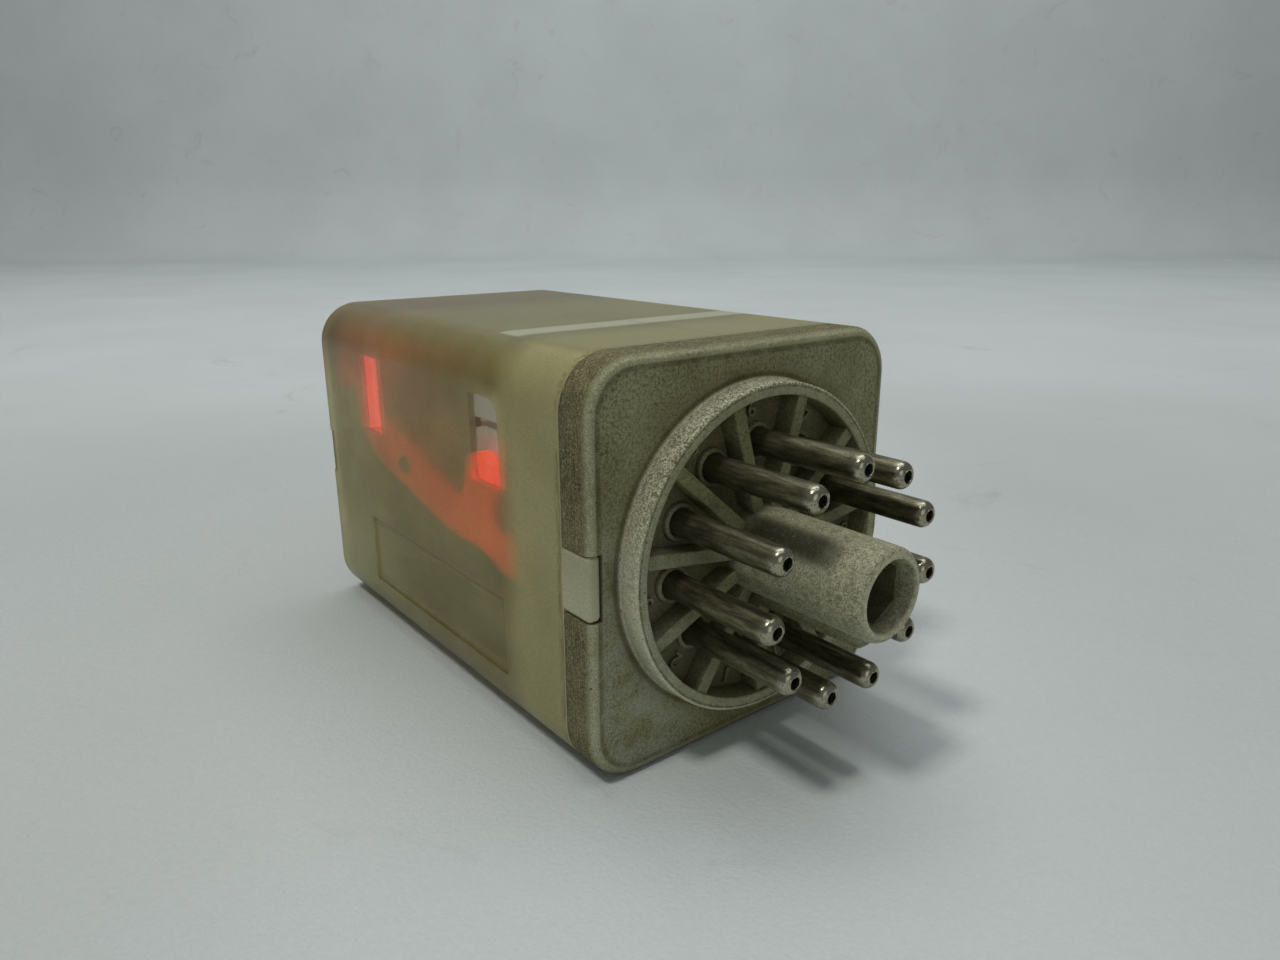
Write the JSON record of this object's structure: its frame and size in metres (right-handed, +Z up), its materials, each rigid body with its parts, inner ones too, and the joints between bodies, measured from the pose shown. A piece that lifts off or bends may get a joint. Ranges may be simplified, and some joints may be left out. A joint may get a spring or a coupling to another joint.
{
  "type": "plug in relay",
  "caption": "Plug-in power relay with round pin base and keyed guide spigot, translucent cover, visible orange test lever and changeover contacts.",
  "frame": {"origin": "middle of the footprint, on the surface that the relay lies on, pins and spigot included", "axes": "+X out along the pins, +Z up from the side it lies on, Y across the case; the key of the guide spigot points down (-Z) and the test lever is on the -Y side"},
  "size_m": [0.0712, 0.0356, 0.0364],
  "materials": {
    "base_plastic": "dusty moulded",
    "cover_plastic": "frosted translucent polycarbonate with polished windows",
    "tinned_pin": "dull tinned",
    "block_plastic": "moulded",
    "bobbin_plastic": "moulded",
    "copper_wire": "enamelled copper",
    "coil_tape": "adhesive tape",
    "plated_steel": "zinc plated",
    "spring_bronze": "rolled strip",
    "orange_plastic": "bright moulded",
    "brass_strip": "rolled strip",
    "silver_contact": "silver alloy",
    "tinned_wire": "tinned"
  },
  "bodies": {
    "frame": {"base": "base_plastic", "cover": "cover_plastic", "pin_1": "tinned_pin", "pin_2": "tinned_pin", "pin_3": "tinned_pin", "pin_4": "tinned_pin", "pin_5": "tinned_pin", "pin_6": "tinned_pin", "pin_7": "tinned_pin", "pin_8": "tinned_pin", "pin_9": "tinned_pin", "pin_10": "tinned_pin", "pin_11": "tinned_pin", "contact_block": "block_plastic", "normally_open_strip_1": "brass_strip", "normally_closed_strip_1": "brass_strip", "common_strip_1": "brass_strip", "normally_open_contact_1": "silver_contact", "normally_closed_contact_1": "silver_contact", "common_lead_1": "tinned_wire", "normally_closed_lead_1": "tinned_wire", "normally_open_lead_1": "tinned_wire", "normally_open_strip_2": "brass_strip", "normally_closed_strip_2": "brass_strip", "common_strip_2": "brass_strip", "normally_open_contact_2": "silver_contact", "normally_closed_contact_2": "silver_contact", "common_lead_2": "tinned_wire", "normally_closed_lead_2": "tinned_wire", "normally_open_lead_2": "tinned_wire", "normally_open_strip_3": "brass_strip", "normally_closed_strip_3": "brass_strip", "common_strip_3": "brass_strip", "normally_open_contact_3": "silver_contact", "normally_closed_contact_3": "silver_contact", "common_lead_3": "tinned_wire", "normally_closed_lead_3": "tinned_wire", "normally_open_lead_3": "tinned_wire", "coil_lead_1": "tinned_wire", "coil_lead_2": "tinned_wire", "bobbin": "bobbin_plastic", "coil_winding": "copper_wire", "coil_tape": "coil_tape", "core": "plated_steel", "shading_ring": "copper_wire", "yoke": "plated_steel", "armature_leaf_spring": "spring_bronze", "lever_pivot_pin": "bobbin_plastic"},
    "armature": {"armature": "plated_steel", "actuator_card": "block_plastic"},
    "lever": {"test_lever": "orange_plastic"},
    "button": {"test_button": "orange_plastic"},
    "blade_1": {"moving_blade_1": "spring_bronze", "moving_contact_1": "silver_contact"},
    "blade_2": {"moving_blade_2": "spring_bronze", "moving_contact_2": "silver_contact"},
    "blade_3": {"moving_blade_3": "spring_bronze", "moving_contact_3": "silver_contact"}
  },
  "joints": [
    {"name": "armature_hinge", "type": "hinge", "parent": "frame", "child": "armature", "pos_m": [-0.0127, 0, 0.0314], "axis": [0, 1, 0], "range_deg": [0, 5], "stiffness_Nm_per_rad": 0.03, "springref_deg": -6.88},
    {"name": "lever_pivot", "type": "hinge", "parent": "frame", "child": "lever", "pos_m": [-0.0157, -0.0153, 0.0206], "axis": [0, 1, 0], "range_deg": [0, 3.6]},
    {"name": "button_slide", "type": "slide", "parent": "frame", "child": "button", "axis": [1, 0, 0], "range_m": [0, 0.0009]},
    {"name": "blade_1_flex", "type": "hinge", "parent": "frame", "child": "blade_1", "pos_m": [0.0031, -0.009, 0.0182], "axis": [0, -1, 0], "range_deg": [0, 4.6]},
    {"name": "blade_2_flex", "type": "hinge", "parent": "frame", "child": "blade_2", "pos_m": [0.0031, 0, 0.0182], "axis": [0, -1, 0], "range_deg": [0, 4.6]},
    {"name": "blade_3_flex", "type": "hinge", "parent": "frame", "child": "blade_3", "pos_m": [0.0031, 0.009, 0.0182], "axis": [0, -1, 0], "range_deg": [0, 4.6]}
  ],
  "couplings": [
    {"joint": "lever_pivot", "follows": "armature_hinge", "ratio": 0.7},
    {"joint": "button_slide", "follows": "armature_hinge", "m_per_rad": 0.0092},
    {"joint": "blade_1_flex", "follows": "armature_hinge", "ratio": 0.9},
    {"joint": "blade_2_flex", "follows": "armature_hinge", "ratio": 0.9},
    {"joint": "blade_3_flex", "follows": "armature_hinge", "ratio": 0.9}
  ]
}
